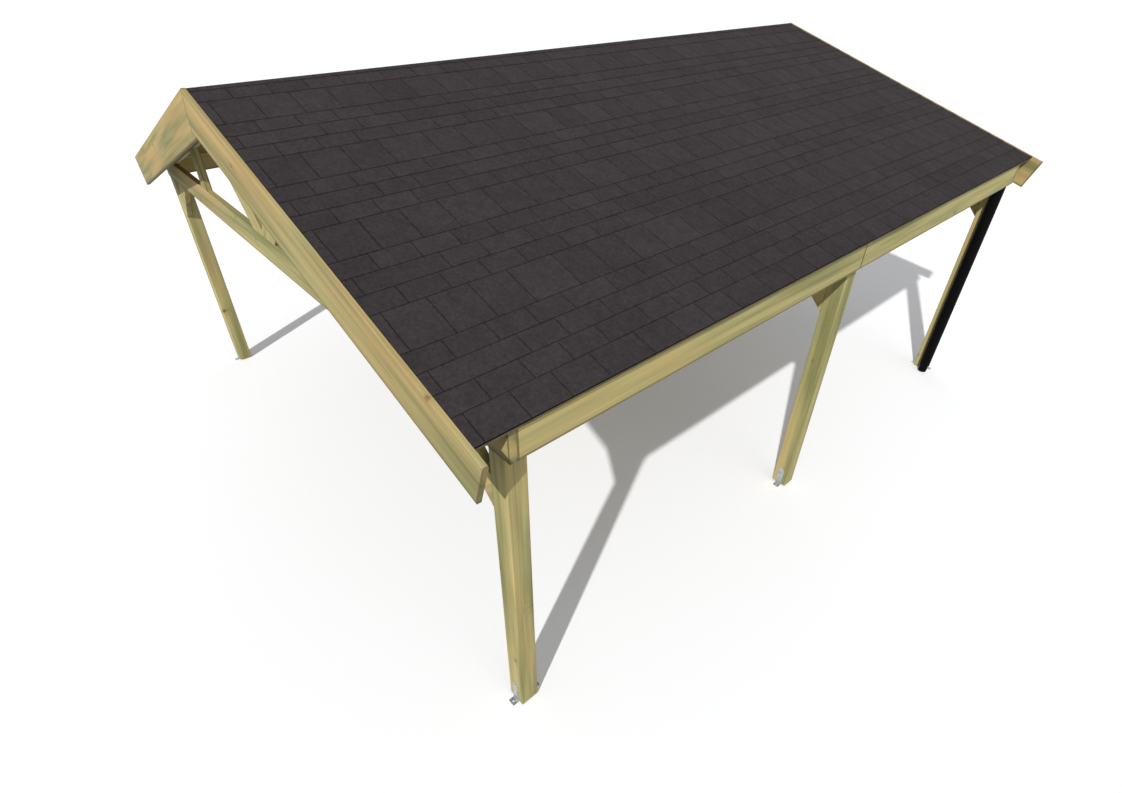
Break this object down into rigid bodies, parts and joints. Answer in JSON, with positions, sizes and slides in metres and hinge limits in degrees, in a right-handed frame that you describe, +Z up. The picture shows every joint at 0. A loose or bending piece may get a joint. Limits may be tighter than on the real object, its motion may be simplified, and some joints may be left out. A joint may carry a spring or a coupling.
{
  "type": "carport",
  "caption": "Open timber carport: a shingled gable roof on trusses, purlins and wall plates, carried by square posts on bent steel feet.",
  "frame": {"origin": "middle of the plan, on the ground below the ridge", "axes": "+Y along the ridge towards the back gable, +X across to the right eave, +Z up"},
  "size_m": [5.836, 6.432, 3.242],
  "materials": {
    "timber": "matte",
    "shingle": "matte",
    "steel": "satin",
    "pipe": "matte"
  },
  "bodies": {
    "root": {"bargeboard_back_left": "timber", "bargeboard_back_right": "timber", "bargeboard_front_left": "timber", "bargeboard_front_right": "timber", "diagonals_back": "timber", "diagonals_front": "timber", "diagonals_middle": "timber", "feet_back_left": "steel", "feet_back_right": "steel", "feet_front_left": "steel", "feet_front_right": "steel", "feet_middle_left": "steel", "feet_middle_right": "steel", "knee_braces_back": "timber", "knee_braces_front": "timber", "knee_braces_middle": "timber", "post_back_left": "timber", "post_back_right": "timber", "post_front_left": "timber", "post_front_right": "timber", "post_middle_left": "timber", "post_middle_right": "timber", "purlins_left": "timber", "purlins_right": "timber", "rafter_back_left": "timber", "rafter_back_right": "timber", "rafter_front_left": "timber", "rafter_front_right": "timber", "rafter_middle_left": "timber", "rafter_middle_right": "timber", "rainwater_pipe": "pipe", "roof_covering_left": "shingle", "roof_covering_right": "shingle", "roof_deck_left": "timber", "roof_deck_right": "timber", "struts_back": "timber", "struts_front": "timber", "struts_middle": "timber", "tie_beam_back": "timber", "tie_beam_front": "timber", "tie_beam_middle": "timber", "wall_plate_back_left": "timber", "wall_plate_back_right": "timber", "wall_plate_front_left": "timber", "wall_plate_front_right": "timber"}
  },
  "joints": []
}
